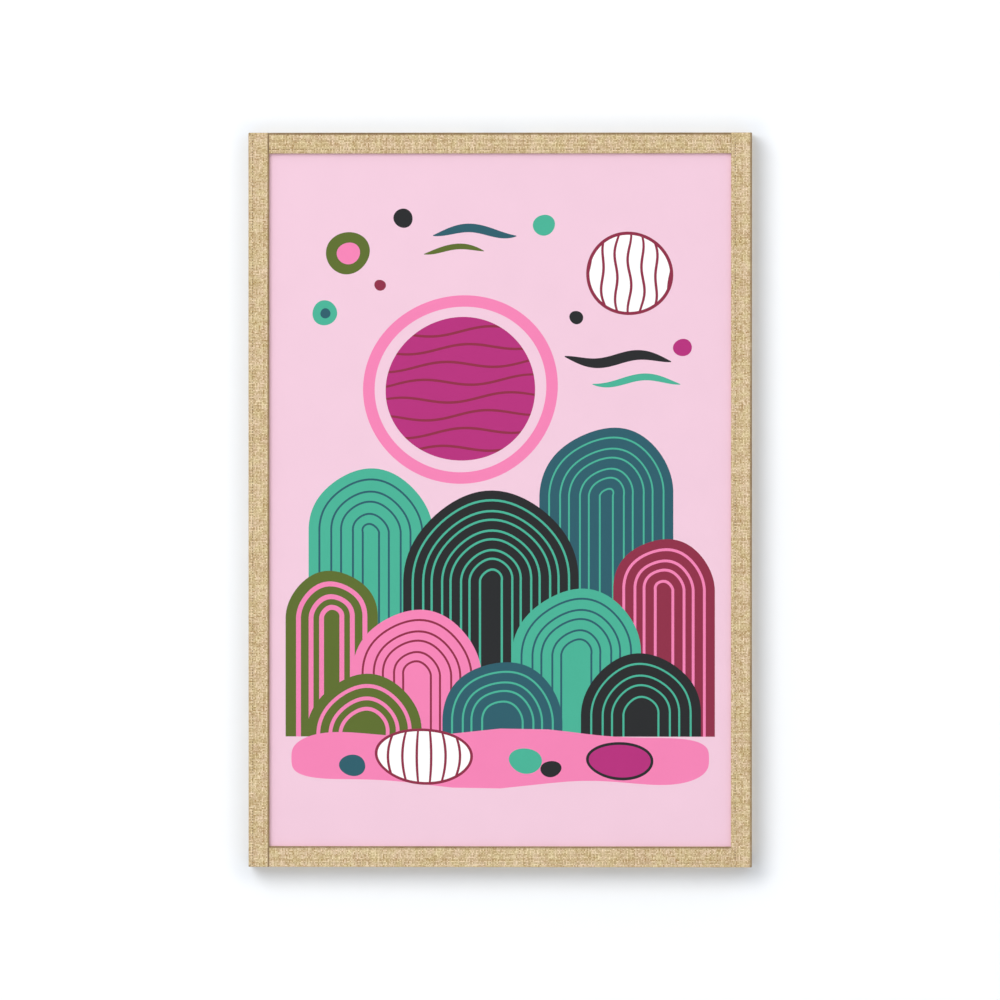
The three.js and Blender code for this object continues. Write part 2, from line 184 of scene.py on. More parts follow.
class Wiring:
    """Adds nodes to one tree and joins them."""

    def __init__(self, tree):
        self.tree = tree

    def feed(self, socket, value):
        if isinstance(value, bpy.types.NodeSocket):
            self.tree.links.new(value, socket)
        else:
            socket.default_value = value

    def add(self, kind, inputs=None, **settings):
        node = self.tree.nodes.new(kind)
        for name, value in settings.items():
            setattr(node, name, value)
        for name, value in (inputs or {}).items():
            self.feed(node.inputs[name], value)
        return node

    def math(self, operation, *values, clamp=False):
        node = self.add("ShaderNodeMath", operation=operation, use_clamp=clamp)
        for socket, value in zip(node.inputs, values):
            self.feed(socket, value)
        return node.outputs[0]

    def vector(self, x=0.0, y=0.0, z=0.0):
        return self.add("ShaderNodeCombineXYZ", {"X": x, "Y": y, "Z": z}).outputs[0]

    def noise(self, vector, scale, detail=2.0, roughness=0.5, distortion=0.0):
        inputs = {
            "Vector": vector,
            "Scale": scale,
            "Detail": detail,
            "Roughness": roughness,
            "Distortion": distortion,
        }
        return self.add("ShaderNodeTexNoise", inputs).outputs[0]

    def spread(self, value, low, high, to_low=0.0, to_high=1.0, smooth=False):
        """Maps low..high to to_low..to_high, and stops there."""
        kind = "SMOOTHSTEP" if smooth else "LINEAR"
        node = self.add("ShaderNodeMapRange", interpolation_type=kind)
        for name, number in zip(
            ("Value", "From Min", "From Max", "To Min", "To Max"),
            (value, low, high, to_low, to_high),
        ):
            self.feed(node.inputs[name], number)
        return node.outputs[0]

    def weighted(self, total, *parts):
        """A total plus each part times its weight."""
        for part, weight in parts:
            total = self.math("MULTIPLY_ADD", part, weight, total)
        return total

    def blend(self, factor, first, second, kind="MIX", data_type="RGBA"):
        node = self.add("ShaderNodeMix", data_type=data_type, blend_type=kind)
        one, other, result = MIX_SOCKETS[data_type]
        self.feed(node.inputs[0], factor)
        self.feed(node.inputs[one], first)
        self.feed(node.inputs[other], second)
        return node.outputs[result]

    def grey(self, level):
        parts = {"Red": level, "Green": level, "Blue": level}
        return self.add("ShaderNodeCombineColor", parts).outputs[0]

    def shaded(self, tone, level):
        """A colour times a level of grey."""
        return self.blend(1.0, tone, self.grey(level), "MULTIPLY")

    def on_points(self, name, kind="FLOAT"):
        """What a mesh has stored on its points, in a geometry tree."""
        node = self.add("GeometryNodeInputNamedAttribute", {"Name": name}, data_type=kind)
        return node.outputs["Attribute"]


def opaque(colour_value, level=1.0):
    """A colour times a level, no brighter than 1, with its alpha."""
    return (*(min(1.0, channel * level) for channel in colour_value), 1.0)


def new_surface(name, **settings):
    """A material with one principled shader, whose sockets take the settings."""
    material = bpy.data.materials.new(name)
    material.use_nodes = True
    wiring = Wiring(material.node_tree)
    shader = material.node_tree.nodes["Principled BSDF"]
    for socket, value in settings.items():
        shader.inputs[socket.replace("_", " ")].default_value = value
    return material, wiring, shader


def place_in_mm(w, grain_axis=None, squeeze=1.0):
    """Object coordinates in millimetres, squeezed along an axis so that noise becomes grain."""
    scale = [1 / MM, 1 / MM, 1 / MM]
    if grain_axis:
        scale["XYZ".index(grain_axis)] *= squeeze
    place = w.add("ShaderNodeTexCoord").outputs["Object"]
    return w.add("ShaderNodeMapping", {"Vector": place, "Scale": scale}).outputs[0]


def add_bump(w, shader, height, distance, strength=1.0):
    bump = w.add("ShaderNodeBump", {"Height": height, "Distance": distance, "Strength": strength})
    w.feed(shader.inputs["Normal"], bump.outputs[0])


def new_tree(name, *labels):
    """A geometry tree with a number to give for each label, and its group input and output."""
    tree = bpy.data.node_groups.new(name, "GeometryNodeTree")
    tree.interface.new_socket("Geometry", in_out="INPUT", socket_type="NodeSocketGeometry")
    for label in labels:
        tree.interface.new_socket(label, in_out="INPUT", socket_type="NodeSocketFloat")
    tree.interface.new_socket("Geometry", in_out="OUTPUT", socket_type="NodeSocketGeometry")
    w = Wiring(tree)
    return tree, w, w.add("NodeGroupInput").outputs, w.add("NodeGroupOutput").inputs


def finish_tree(w, geometry, material, group_output):
    made = w.add("GeometryNodeRealizeInstances", {"Geometry": geometry}).outputs[0]
    dressed = w.add("GeometryNodeSetMaterial", {"Geometry": made, "Material": material})
    w.feed(group_output["Geometry"], dressed.outputs[0])


def link_piece(name, mesh):
    piece = bpy.data.objects.new(name, mesh)
    bpy.context.scene.collection.objects.link(piece)
    return piece


def grown(name, base, tree, inputs):
    """Runs a geometry tree on a base mesh and returns a plain piece with the result."""
    seedling = link_piece(name + ".base", base)
    modifier = seedling.modifiers.new("shape", "NODES")
    modifier.node_group = tree
    for item in tree.interface.items_tree:
        if item.in_out == "INPUT" and item.name in inputs:
            modifier[item.identifier] = inputs[item.name]
    seedling.update_tag()
    graph = bpy.context.evaluated_depsgraph_get()
    graph.update()
    mesh = bpy.data.meshes.new_from_object(seedling.evaluated_get(graph), depsgraph=graph)
    mesh.name = name
    bpy.data.objects.remove(seedling)
    return link_piece(name, mesh)


def smooth(mesh, angle):
    mesh.shade_smooth()
    mesh.set_sharp_from_angle(angle=math.radians(angle))


def outward(points, faces):
    """The faces turned so that a closed mesh encloses a positive volume."""
    fans = np.array([(face[0], b, c) for face in faces for b, c in zip(face[1:-1], face[2:])])
    first, second, third = (points[fans[:, side]] for side in range(3))
    volume = (first * np.cross(second, third)).sum()
    return faces if volume > 0 else [face[::-1] for face in faces]


# ------------------------------------------------------------------ the weave
#
# A plain weave on the cloth's own coordinates. The warp runs along the strip and the weft
# across it, and each passes over and under the other in turn.

CROWN = 0.56  # share of the relief that is a thread's roundness; the rest is its wave
WEFT_SEED = 40.0  # added to the seed for the weft
THREADS_APART = 7.31  # from one thread's place in the noise to the next
SLUB_SCALE = 90.0  # slubs, and slow and quick changes of tone, in a metre
SLOW_SCALE, QUICK_SCALE = 170.0, 650.0
STRANDS_ACROSS, STRANDS_ALONG = 2400.0, 800.0
GOLDEN_SHARE = 0.618  # steps by this share of a turn never fall close together
CUT_SHIFT = 0.37  # so that the same thread of two strips isn't of one tone


def interlaced(w, across, along, pitch):
    """Heights of the warp and of the weft, from 0 in the gaps to 1, and the threads' numbers."""
    column = w.math("DIVIDE", across, pitch)
    row = w.math("DIVIDE", along, pitch)
    warp = w.math("ROUND", column)
    weft = w.math("ROUND", row)

    def height(place, thread, other_place, sign):
        crown = w.math("COSINE", w.math("MULTIPLY", w.math("SUBTRACT", place, thread), math.pi))
        wave = w.math("COSINE", w.math("MULTIPLY", w.math("ADD", other_place, thread), math.pi))
        return w.math("MULTIPLY", crown, CROWN), w.math("MULTIPLY", wave, sign * (1 - CROWN))

    return height(column, warp, row, 1), height(row, weft, column, -1), warp, weft


def slubbed(w, thread, along, scale, seed):
    """A thread's own change along its length, on the mean about 0."""
    number = w.math("MULTIPLY", thread, THREADS_APART)
    place = w.vector(number, w.math("MULTIPLY", along, scale), seed)
    return w.math("SUBTRACT", w.noise(place, 1.0, detail=1.5), 0.5)


def weave_relief(material):
    """Raises a sheet's skin into threads, from the cloth coordinates stored on its points."""
    labels = ("Thread pitch", "Relief", "Slub", "Seed")
    tree, w, given, result = new_tree("weave_relief", *labels)
    across, along, skin = (w.on_points(name) for name in ("across", "along", "skin"))
    warp, weft, warp_thread, weft_thread = interlaced(w, across, along, given["Thread pitch"])

    def swollen(parts, thread, length_along, seed):
        change = w.math("MULTIPLY", slubbed(w, thread, length_along, SLUB_SCALE, seed), 2.0)
        swell = w.math("MULTIPLY_ADD", change, given["Slub"], 1.0)
        return w.math("ADD", w.math("MULTIPLY", parts[0], swell), parts[1])

    seed = given["Seed"]
    height = w.math(
        "MAXIMUM",
        swollen(warp, warp_thread, along, seed),
        swollen(weft, weft_thread, across, w.math("ADD", seed, WEFT_SEED)),
    )
    raised = w.math("MULTIPLY", w.math("SUBTRACT", height, CROWN), given["Relief"])
    offset = w.add("ShaderNodeVectorMath", operation="SCALE")
    w.feed(offset.inputs[0], w.add("GeometryNodeInputNormal").outputs[0])
    w.feed(offset.inputs["Scale"], w.math("MULTIPLY", raised, skin))
    moved = w.add(
        "GeometryNodeSetPosition", {"Geometry": given["Geometry"], "Offset": offset.outputs[0]}
    )
    finish_tree(w, moved.outputs[0], material, result)
    return tree


def linen_cloth(sizes):
    """Undyed linen: threads of uneven tone, painted shade in the weave's gaps and along edges, a
    few dark threads.
    """
    material, w, shader = new_surface(
        "linen_cloth", Roughness=0.92, Sheen_Weight=0.12, Sheen_Roughness=0.5
    )
    shader.inputs["Specular IOR Level"].default_value = 0.25

    def stored(name):
        return w.add("ShaderNodeAttribute", attribute_name=name).outputs["Fac"]

    across, along = stored("across"), stored("along")
    cut = w.math("ROUND", stored("cut"))
    warp, weft, warp_thread, weft_thread = interlaced(w, across, along, sizes.thread_pitch)
    warp_height = w.math("ADD", *warp)
    weft_height = w.math("ADD", *weft)
    warp_on_top = w.spread(w.math("SUBTRACT", warp_height, weft_height), -0.1, 0.1)

    def chance(first, second):
        """A number of its own for each thread or each crossing, from -0.5 to 0.5."""
        node = w.add("ShaderNodeTexWhiteNoise", noise_dimensions="2D")
        w.feed(node.inputs["Vector"], w.vector(first, second))
        return w.math("SUBTRACT", node.outputs[0], 0.5)

    def tone(thread, aside, length_along, seed):
        """How pale a thread is: its own part, slow and quick changes, and its strands."""
        beside = w.math("MULTIPLY", aside, STRANDS_ACROSS)
        further = w.math("MULTIPLY", length_along, STRANDS_ALONG)
        strands = w.math("SUBTRACT", w.noise(w.vector(beside, further, seed), 1.0), 0.5)
        first = w.math("MULTIPLY", cut, CUT_SHIFT)
        unlike_next = w.math("FRACT", w.math("MULTIPLY_ADD", thread, GOLDEN_SHARE, first))
        return w.weighted(
            0.3,
            (chance(thread, w.math("ADD", cut, seed)), 0.35),
            (unlike_next, 0.4),
            (slubbed(w, thread, length_along, SLOW_SCALE, seed), 1.9),
            (slubbed(w, thread, length_along, QUICK_SCALE, seed + 9.0), 2.6),
            (strands, 1.8),
        )

    seed = float(sizes.seed)
    weft_tone = tone(weft_thread, along, across, seed + WEFT_SEED)
    warp_tone = tone(warp_thread, across, along, seed)
    top_tone = w.blend(warp_on_top, weft_tone, warp_tone, data_type="FLOAT")
    crossing = chance(w.math("MULTIPLY_ADD", warp_on_top, 0.5, warp_thread), weft_thread)
    place = place_in_mm(w)
    cloud = w.math("SUBTRACT", w.noise(place, 0.07, detail=4.0, roughness=0.6), 0.5)
    lightness = w.weighted(top_tone, (crossing, 0.15), (cloud, 0.6))
    lightness = w.spread(lightness, -0.5, 1.5, smooth=True)

    height = w.math("MAXIMUM", warp_height, weft_height)
    # painted shade in the gaps of the weave: the lower the threads, the darker the colour
    gap = w.spread(height, 0.02, 0.62, 0.6, 1.0, smooth=True)
    thread_colour = w.blend(lightness, opaque(sizes.brown), opaque(sizes.pale))
    patch = w.spread(w.noise(place, 0.12, detail=2.0), 0.35, 0.65)
    hue = w.blend(patch, (0.98, 1.006, 0.925, 1), (1.015, 0.993, 1.055, 1))
    dark = w.math("MULTIPLY", stored("dark"), 2.0, clamp=True)
    # painted shade along an edge and in the corner folds, and the dark threads where the warp lies
    # on top
    edge_tone_share = w.math("MAXIMUM", stored("soil"), w.math("MULTIPLY", dark, warp_on_top))
    toned = w.blend(edge_tone_share, w.blend(1.0, thread_colour, hue, "MULTIPLY"), opaque(sizes.edge))
    w.feed(shader.inputs["Base Color"], w.shaded(toned, gap))

    fibres = w.noise(place, 5.0, detail=3.0)
    add_bump(w, shader, w.math("MULTIPLY_ADD", fibres, 0.35, height), 0.1 * MM, 0.7)
    return material


# ------------------------------------------------------------------ the cloth on a strip
#
# Each cloth is laid out flat first: "across" runs over the strip, 0 on its outer front edge,
# negative over the front and the lip and positive over the outer side and the back, and
# "along" runs with the strip. Then it is folded round the wood.

# where the section turns: across, inward from the outer edge, back from the front, rounding
SECTION = [
    (-FACE_WIDTH - LIP_DEPTH - TURNED_UNDER, FACE_WIDTH - TURNED_UNDER, LIP_DEPTH, 0.0),
    (-FACE_WIDTH - LIP_DEPTH, FACE_WIDTH, LIP_DEPTH, LIP_ROUND),
    (-FACE_WIDTH, FACE_WIDTH, 0.0, FRONT_ROUND),
    (0.0, 0.0, 0.0, FRONT_ROUND),
    (FRAME_DEPTH, 0.0, FRAME_DEPTH, BACK_ROUND),
    (FRAME_DEPTH + HEM_WIDTH, HEM_WIDTH, FRAME_DEPTH, 0.0),
]


def rounded_path(corners, place):
    """The point and the direction of a cornered, rounded path at a place along it."""
    stops = [corner[0] for corner in corners]
    points = [np.array(corner[1:3]) for corner in corners]
    leg = min(max(np.searchsorted(stops, place) - 1, 0), len(corners) - 2)
    for index in (leg, leg + 1):
        rounding = corners[index][3]
        if abs(place - stops[index]) < rounding:
            t = (place - stops[index] + rounding) / (2 * rounding)
            middle = points[index]
            before = points[index - 1] - middle
            after = points[index + 1] - middle
            start = middle + before / np.linalg.norm(before) * rounding
            end = middle + after / np.linalg.norm(after) * rounding
            point = (1 - t) ** 2 * start + 2 * t * (1 - t) * middle + t * t * end
            heading = (1 - t) * (middle - start) + t * (end - middle)
            return point, heading / np.linalg.norm(heading)
    heading = points[leg + 1] - points[leg]
    heading = heading / np.linalg.norm(heading)
    return points[leg] + heading * (place - stops[leg]), heading


def on_path(corners, places):
    """Points on a rounded path, and the direction to its inner side, for many places."""
    some, which = np.unique(np.round(places, 9), return_inverse=True)
    found = [rounded_path(corners, place) for place in some]
    points = np.array([point for point, _ in found])
    inward = np.array([(heading[1], -heading[0]) for _, heading in found])
    return points[which], inward[which]


def drifting(places, pitch, draw):
    """A smooth random wander between -1 and 1 along a length."""
    low = places.min()
    knots = draw.uniform(-1, 1, int((places.max() - low) / pitch) + 2)
    return np.interp((places - low) / pitch, np.arange(len(knots)), knots)


def rim_of(faces):
    """The one closed edge of a sheet, in the order of its faces."""
    after = {}
    for face in faces:
        for start, end in zip(face, face[1:] + face[:1]):
            after[(start, end)] = True
    rim = {start: end for start, end in after if (end, start) not in after}
    ring = [next(iter(rim))]
    while rim[ring[-1]] != ring[0]:
        ring.append(rim[ring[-1]])
    if len(ring) != len(rim):
        raise RuntimeError("the sheet has more than one edge")
    return ring


def store(mesh, name, values):
    mesh.attributes.new(name, "FLOAT", "POINT").data.foreach_set("value", values)


INSIDE_ONLY = 1  # what the triangulation gives back: the cells inside the outlines
LINING_ROWS, LINING_COLUMNS = 24, 6  # steps of the thread grid

# each strip: 1 for the left stile and the top rail or -1 for the other two, and whether upright
STRIPS = {
    "linen_stile_left": (1, True),
    "linen_stile_right": (-1, True),
    "linen_rail_top": (1, False),
    "linen_rail_bottom": (-1, False),
}
# the painted shaded line of each strip: how far in from the outer edge its middle is, and half its
# width
SHADED_EDGE_LINES = {
    "linen_stile_left": (17.6 * MM, 0.95 * MM),
    "linen_stile_right": (0.55 * MM, 0.9 * MM),
    "linen_rail_top": (0.62 * MM, 1.05 * MM),
    "linen_rail_bottom": (17.5 * MM, 0.95 * MM),
}
# how much a painted shaded line changes along it, and over which length
SHADED_EDGE_CHANGES = ((0.08, 5 * MM), (0.1, 60 * MM))
CREASE_REACH, CORNER_REACH = 0.8 * MM, 4 * MM  # of the painted shade in the folds at a stile's corners
DASH_LENGTH = 2.5 * MM  # of a dark thread's dashes
# the dark threads of each strip: how far in from the outer edge, and how dark
DARK_THREADS = {
    "linen_stile_left": [(3.6 * MM, 0.75), (1.2 * MM, 0.3)],
    "linen_stile_right": [(14.4 * MM, 1.0)],
    "linen_rail_top": [(7.2 * MM, 0.25), (14.4 * MM, 0.6)],
    "linen_rail_bottom": [(10.8 * MM, 0.15), (3.6 * MM, 0.35)],
}


def row_place(turn, upright, inward, y, along):
    """A place on a strip, from the strip's own axes to the row frame."""
    if upright:
        return -turn * (OUTER_X - inward), y, MIDDLE_Z + along
    return along, y, (TOP_Z if turn > 0 else BOTTOM_Z) - turn * inward


class StripCloth:
    """One cut of linen: which points of its thread grid it has, and where each one goes."""

    def __init__(self, name, sizes):
        self.name = name
        self.turn, self.upright = STRIPS[name]
        self.half_length = HALF_HEIGHT if self.upright else RAIL_FRONT_END
        self.step = sizes.thread_pitch / 2
        self.thickness = sizes.thickness
        self.ends = round(self.half_length / self.step)
        self.lip = self.steps(-FACE_WIDTH)
        self.under = self.steps(-FACE_WIDTH - LIP_DEPTH)
        self.back = self.steps(FRAME_DEPTH) + 1
        raw = self.steps(FRAME_DEPTH + HEM_WIDTH)
        hidden = [self.steps(-FACE_WIDTH - LIP_DEPTH - TURNED_UNDER * part) for part in (0.9, 0.5)]
        self.columns = np.array(hidden + list(range(self.under - 1, raw + 1)))
        past = raw if self.upright else self.steps(RAIL_BACK_END - RAIL_FRONT_END)
        self.rows = np.arange(-self.ends - past, self.ends + past + 1)

    def steps(self, distance):
        return round(distance / self.step)

    def kept(self, column, row):
        """Whether the cut has this point of the thread grid.

        A rail's tongues are narrower. A stile's hem is mitred at the corners, one row is tucked
        round each end, and a flap covers the end, narrower behind the lip and mitred too.
        """
        past = np.abs(row) - self.ends
        if not self.upright:
            return (past <= 0) | (column >= self.steps(TONGUE_FRONT))
        mitre = (column < self.back) | (-past >= column - self.back)
        tucked = (past == 1) & (
            ((column >= 0) & (column < self.back)) | ((column > self.under) & (column <= self.lip))
        )
        flap = (past >= 1) & (column > self.lip) & (column < 0)
        flap &= (past <= self.steps(LIP_DEPTH)) | (column >= -self.steps(BODY_WIDTH))
        flap &= (past < self.back) | (-column >= past - self.back + 2)
        return ((past <= 0) & mitre) | tucked | flap

    def slit(self, column, row):
        """Whether the cell that starts at this point is cut open beside an end flap."""
        low = np.minimum(np.abs(row), np.abs(row + 1))
        return self.upright & (low >= self.ends) & ((column == -1) | (column == self.lip))

    def folded(self, across, along, depth):
        """Places on the flat cloth, at a depth under its outer face, in the row frame."""
        place, inward = on_path(SECTION, across)
        past = np.abs(along) - self.half_length
        if self.upright:
            end, under = on_path(self.end_path(), past)
            middle = on_path(self.end_path(), np.zeros(1))[0][0, 0]
            edge = self.step / 2
            flap = (past > 0) & (across < -edge) & (across > edge - FACE_WIDTH)
            sunk = end[:, 0] + under[:, 0] * depth
            place = place + inward * np.where(flap, middle, sunk)[:, None]
            place[:, 1] += np.where(flap, sunk - middle, 0)
            reach = end[:, 1] + under[:, 1] * depth
        else:
            front = across < TONGUE_FRONT
            last = front & (past > -self.step / 2)
            reach = np.minimum(np.abs(along), np.where(front, RAIL_FRONT_END, RAIL_BACK_END))
            reach = np.where(last, RAIL_FRONT_END, reach)
            place = place + inward * (depth + np.where(last, END_SINKS, 0.0))[:, None]
        placed = (place[:, 0], FRONT_Y + place[:, 1], np.sign(along) * reach)
        return np.stack(row_place(self.turn, self.upright, *placed), axis=1)

    def end_path(self):
        """Over a stile's end: past it, back from the front, from the middle, and rounding."""
        half, straight = self.half_length, 50 * MM
        return (
            (-straight, 0.0, half - straight, 0.0),
            (0.0, 0.0, half, FRONT_ROUND),
            (FRAME_DEPTH, FRAME_DEPTH, half, BACK_ROUND),
            (FRAME_DEPTH + straight, FRAME_DEPTH, half - straight, 0.0),
        )

    def darkened(self, across, along, draw):
        """How dark the few dark threads are, in dashes."""
        dark = np.zeros(len(across))
        for place, strength in DARK_THREADS[self.name]:
            dashes = np.clip(0.55 + 0.6 * drifting(along, DASH_LENGTH, draw), 0, 1)
            line = np.clip(1 - np.abs(across + place) / self.step, 0, 1) * strength * dashes
            dark = np.maximum(dark, line)
        return dark

    def edge_tone_share(self, across, along, draw):
        """Painted shade on the cloth: along one edge of each strip, and in the folds at the
        stiles' corners.
        """
        middle, reach = SHADED_EDGE_LINES[self.name]
        wander = 0.86
        for part, length_along in SHADED_EDGE_CHANGES:
            wander = wander + part * drifting(along, length_along, draw)
        soil = np.clip(1.6 - np.abs(across + middle) / reach, 0, 1) * wander
        if self.upright:
            corner = np.abs(along) - self.half_length
            crease = np.clip(1.5 - np.abs(across - corner) / CREASE_REACH, 0, 1)
            near = np.clip(1.5 + (across + corner) / CORNER_REACH, 0, 1)
            marked = (self.turn > 0) | (along < 0)
            soil = np.maximum(soil, crease * near * marked)
        return soil

    def mesh(self, draw):
        """The folded cloth as a closed shell with its flat coordinates on its points."""
        column, row = np.meshgrid(self.columns, self.rows)
        kept = self.kept(column, row)
        number = np.where(kept, np.cumsum(kept).reshape(kept.shape) - 1, -1)
        corners = np.stack([number[:-1, :-1], number[:-1, 1:], number[1:, 1:], number[1:, :-1]], 2)
        open_cells = ~self.slit(column[:-1, :-1], row[:-1, :-1])
        there = (corners >= 0).sum(axis=2)
        faces = [list(cell) for cell in corners[open_cells & (there == 4)]]
        for cell in corners[open_cells & (there == 3)]:
            faces.append([point for point in cell if point >= 0])
        flat = np.stack([column[kept], row[kept]], axis=1) * self.step

        ring = rim_of(faces)
        count = len(flat)
        grid = [tuple(point) for point in flat[ring]]
        spare = self.lining_points(column, row, kept)
        points = [Vector(point) for point in grid + spare]
        found, _, cells, sources, _, _ = delaunay_2d_cdt(
            points, [], [list(range(len(ring)))], INSIDE_ONLY, 1e-7
        )
        if len(found) != len(points):
            raise RuntimeError(f"{self.name}: the lining has other points than its edge")
        lining = [[count + sources[point][0] for point in cell][::-1] for cell in cells]
        rim = [
            [ring[(n + 1) % len(ring)], ring[n], count + n, count + (n + 1) % len(ring)]
            for n in range(len(ring))
        ]
        flat = np.concatenate([flat, np.array(grid + spare)])
        depth = np.where(np.arange(len(flat)) < count, 0.0, self.thickness)
        points = self.folded(flat[:, 0], flat[:, 1], depth)
        mesh = bpy.data.meshes.new(self.name)
        mesh.from_pydata(points.tolist(), [], outward(points, faces + rim + lining))
        skin = (depth == 0).astype(float)
        store(mesh, "across", flat[:, 0])
        store(mesh, "along", flat[:, 1])
        store(mesh, "skin", skin)
        store(mesh, "cut", np.full(len(flat), float(list(STRIPS).index(self.name))))
        # the painted shade, on the outer skin only
        store(mesh, "soil", self.edge_tone_share(flat[:, 0], flat[:, 1], draw) * skin)
        store(mesh, "dark", self.darkened(flat[:, 0], flat[:, 1], draw) * skin)
        return mesh

    def lining_points(self, column, row, kept):
        """A few points of the grid for the hidden inner face, where the cloth bends."""
        inside = kept[1:-1, 1:-1].copy()
        for down in (0, 1, 2):
            for aside in (0, 1, 2):
                inside &= kept[down : down + inside.shape[0], aside : aside + inside.shape[1]]
        column, row = column[1:-1, 1:-1], row[1:-1, 1:-1]
        past = np.abs(row) - self.ends
        bends = [self.under, self.lip, 0, self.back - 1]
        bend_columns = np.isin(column, [bend + side for bend in bends for side in (-2, 0, 2)])
        bend_rows = (row % LINING_ROWS == 0) & (past < -4)
        if self.upright:
            bend_rows |= np.isin(past, [-2, 2, 14, self.back - 3, self.back + 1])
            inside &= ~((past > -2) & ((column > -3) | (column < self.lip + 3)))
        chosen = inside & bend_columns & bend_rows
        if self.upright:
            chosen |= inside & (column % LINING_COLUMNS == 0) & (past > 0) & bend_rows
        return [tuple(point) for point in np.stack([column[chosen], row[chosen]], 1) * self.step]


# ------------------------------------------------------------------ staples and thread ends

STAPLE_BEND = 0.9 * MM
STAPLE_OUT = 0.4  # of the wire's half thickness, from the hem to the wire's middle
STAPLE_INWARD = 5.2 * MM  # from the strip's outer side
STAPLE_STRAY = 0.6 * MM  # inward or outward
STAPLE_WANDER = 4 * MM  # along the strip
STAPLE_TILT = 0.16  # radians
STILE_ROW_END, RAIL_ROW_END = 14 * MM, 20 * MM  # from the strip's end
CORNER_STAPLE = 6 * MM  # from the corner, both ways
HANGER_CLEAR = 32 * MM  # no staple this near the middle of the top rail
STILE_FRAY_END, RAIL_FRAY_END = 9.6 * MM, 0.4 * MM  # from the strip's end
FRAY_ROOT = 0.5 * MM  # from the raw edge back to where its thread ends start
FRAY_DEPTH = 0.75  # of the cloth's thickness, from the hem's face
FRAY_CURL, FRAY_SAG = 0.35, -0.05  # of a thread end's length
FRAY_TAPER = 0.65  # of its thickness


def staple_row(material):
    """Wire staples on points, each turned by the angle stored on its point."""
    tree, w, given, result = new_tree("staple_row", "Crown", "Leg", "Wire")
    line = w.add("GeometryNodeCurvePrimitiveLine")
    four = w.add("GeometryNodeResampleCurve", {"Curve": line.outputs[0], "Count": 4}, mode="COUNT")
    side = w.math("SUBTRACT", w.add("GeometryNodeInputIndex").outputs[0], 1.5)
    half = w.math("MULTIPLY", given["Crown"], 0.5)
    across = w.math("MULTIPLY", w.math("SIGN", side), half)
    at_end = w.math("GREATER_THAN", w.math("ABSOLUTE", side), 1.0)
    down = w.math("MULTIPLY", w.math("MULTIPLY", at_end, given["Leg"]), -1.0)
    bent = w.add("GeometryNodeSetPosition", {"Geometry": four.outputs[0]})
    w.feed(bent.inputs["Position"], w.vector(across, down))
    rounded = w.add(
        "GeometryNodeFilletCurve",
        {"Curve": bent.outputs[0], "Radius": STAPLE_BEND, "Limit Radius": True},
    )
    circle = w.add(
        "GeometryNodeCurvePrimitiveCircle", {"Radius": given["Wire"], "Resolution": 8}
    )
    wire = w.add(
        "GeometryNodeCurveToMesh",
        {"Curve": rounded.outputs[0], "Profile Curve": circle.outputs[0], "Fill Caps": True},
    )
    angles = w.vector(0.0, w.on_points("turn"))
    rotation = w.add("FunctionNodeEulerToRotation", {"Euler": angles})
    placed = w.add(
        "GeometryNodeInstanceOnPoints",
        {
            "Points": given["Geometry"],
            "Instance": wire.outputs[0],
            "Rotation": rotation.outputs[0],
        },
    )
    finish_tree(w, placed.outputs[0], material, result)
    return tree


def frayed_hem(material):
    """Loose thread ends along the edges of a mesh, pointing the way stored on its points."""
    labels = ("Thread pitch", "Length", "Thickness", "Seed")
    tree, w, given, result = new_tree("frayed_hem", *labels)

    def any_of(low, high, seed):
        node = w.add("FunctionNodeRandomValue", data_type="FLOAT")
        node.inputs[2].default_value, node.inputs[3].default_value = low, high
        w.feed(node.inputs["Seed"], w.math("ADD", given["Seed"], float(seed)))
        return node.outputs[1]

    edge = w.add("GeometryNodeMeshToCurve", {"Mesh": given["Geometry"]})
    stops = w.add("GeometryNodeResampleCurve", {"Curve": edge.outputs[0]}, mode="LENGTH")
    w.feed(stops.inputs["Length"], given["Thread pitch"])

    line = w.add("GeometryNodeCurvePrimitiveLine")
    five = w.add("GeometryNodeResampleCurve", {"Curve": line.outputs[0], "Count": 5}, mode="COUNT")
    share = w.math("DIVIDE", w.add("GeometryNodeInputIndex").outputs[0], 4.0)
    squared = w.math("MULTIPLY", share, share)
    curl = w.math("MULTIPLY", squared, w.math("MULTIPLY", given["Length"], FRAY_CURL))
    sag = w.math("MULTIPLY", squared, w.math("MULTIPLY", given["Length"], FRAY_SAG))
    bent = w.add("GeometryNodeSetPosition", {"Geometry": five.outputs[0]})
    run = w.math("MULTIPLY", share, given["Length"])
    w.feed(bent.inputs["Position"], w.vector(run, sag, curl))
    profile = w.add(
        "GeometryNodeCurvePrimitiveCircle", {"Radius": given["Thickness"], "Resolution": 3}
    )
    thread = w.add(
        "GeometryNodeCurveToMesh",
        {
            "Curve": bent.outputs[0],
            "Profile Curve": profile.outputs[0],
            "Scale": w.math("MULTIPLY_ADD", share, -FRAY_TAPER, 1.0),
            "Fill Caps": True,
        },
    )

    way = w.on_points("outward", "FLOAT_VECTOR")
    facing = w.add("FunctionNodeAlignRotationToVector", {"Vector": way}, axis="X", pivot_axis="Y")
    turn = w.vector(any_of(-0.6, 0.6, 1), any_of(-0.5, 0.5, 2), any_of(-0.03, 0.12, 3))
    strayed = w.add(
        "FunctionNodeRotateRotation",
        {"Rotation": facing.outputs[0], "Rotate By": turn},
        rotation_space="LOCAL",
    )
    placed = w.add(
        "GeometryNodeInstanceOnPoints",
        {
            "Points": stops.outputs[0],
            "Instance": thread.outputs[0],
            "Rotation": strayed.outputs[0],
            "Scale": w.vector(any_of(0.3, 1.0, 4), 1.0, 1.0),
        },
    )
    finish_tree(w, placed.outputs[0], material, result)
    return tree


